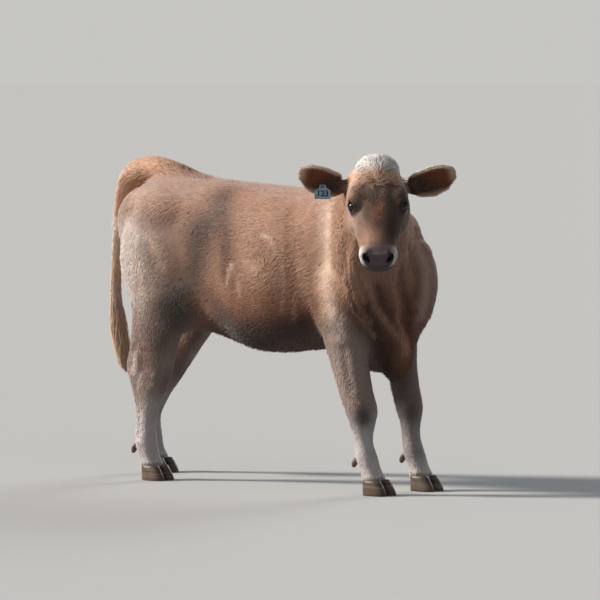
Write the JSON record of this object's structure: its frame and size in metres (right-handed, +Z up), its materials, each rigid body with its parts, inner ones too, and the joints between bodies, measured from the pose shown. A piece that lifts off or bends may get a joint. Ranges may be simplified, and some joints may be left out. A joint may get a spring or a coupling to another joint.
{
  "type": "young beef cow, still model",
  "caption": "Life-size still model of a young polled beef cow standing with its head turned to its right, with a bare ear tag.",
  "frame": {"origin": "on the ground that the hooves stand on, under the middle of the whole animal's box", "axes": "+X forward along the trunk, +Y to the animal's left, +Z up"},
  "size_m": [1.6894, 0.7103, 1.2154],
  "materials": {
    "coat": "short tan hair over skin",
    "neck_coat": "short reddish tan hair over skin",
    "head_coat": "short tan to dark brown hair, cream on the poll and round the muzzle",
    "ear_coat": "short hair, dark inside the ear and pale at its rim",
    "leg_coat": "short pale tan to grey-cream hair",
    "tail_coat": "longer orange-tan hair",
    "eye": "wet dark brown",
    "hoof_horn": "dull dark horn",
    "tag_plastic": "satin pale blue-grey plastic",
    "stud_plastic": "satin pale blue-grey plastic"
  },
  "bodies": {
    "root": {"trunk": "coat", "neck": "neck_coat", "head": "head_coat", "ear_right": "ear_coat", "ear_left": "ear_coat", "foreleg_right": "leg_coat", "foreleg_left": "leg_coat", "hindleg_right": "leg_coat", "hindleg_left": "leg_coat", "tail_head": "tail_coat", "tail_dock": "tail_coat", "tail_switch": "tail_coat", "eye_right": "eye", "eye_left": "eye", "ear_tag": "tag_plastic", "ear_tag_stud": "stud_plastic", "forehoof_right_inner": "hoof_horn", "foredewclaw_right_inner": "hoof_horn", "forehoof_right_outer": "hoof_horn", "foredewclaw_right_outer": "hoof_horn", "forehoof_left_inner": "hoof_horn", "foredewclaw_left_inner": "hoof_horn", "forehoof_left_outer": "hoof_horn", "foredewclaw_left_outer": "hoof_horn", "hindhoof_right_inner": "hoof_horn", "hinddewclaw_right_inner": "hoof_horn", "hindhoof_right_outer": "hoof_horn", "hinddewclaw_right_outer": "hoof_horn", "hindhoof_left_inner": "hoof_horn", "hinddewclaw_left_inner": "hoof_horn", "hindhoof_left_outer": "hoof_horn", "hinddewclaw_left_outer": "hoof_horn"}
  },
  "joints": []
}
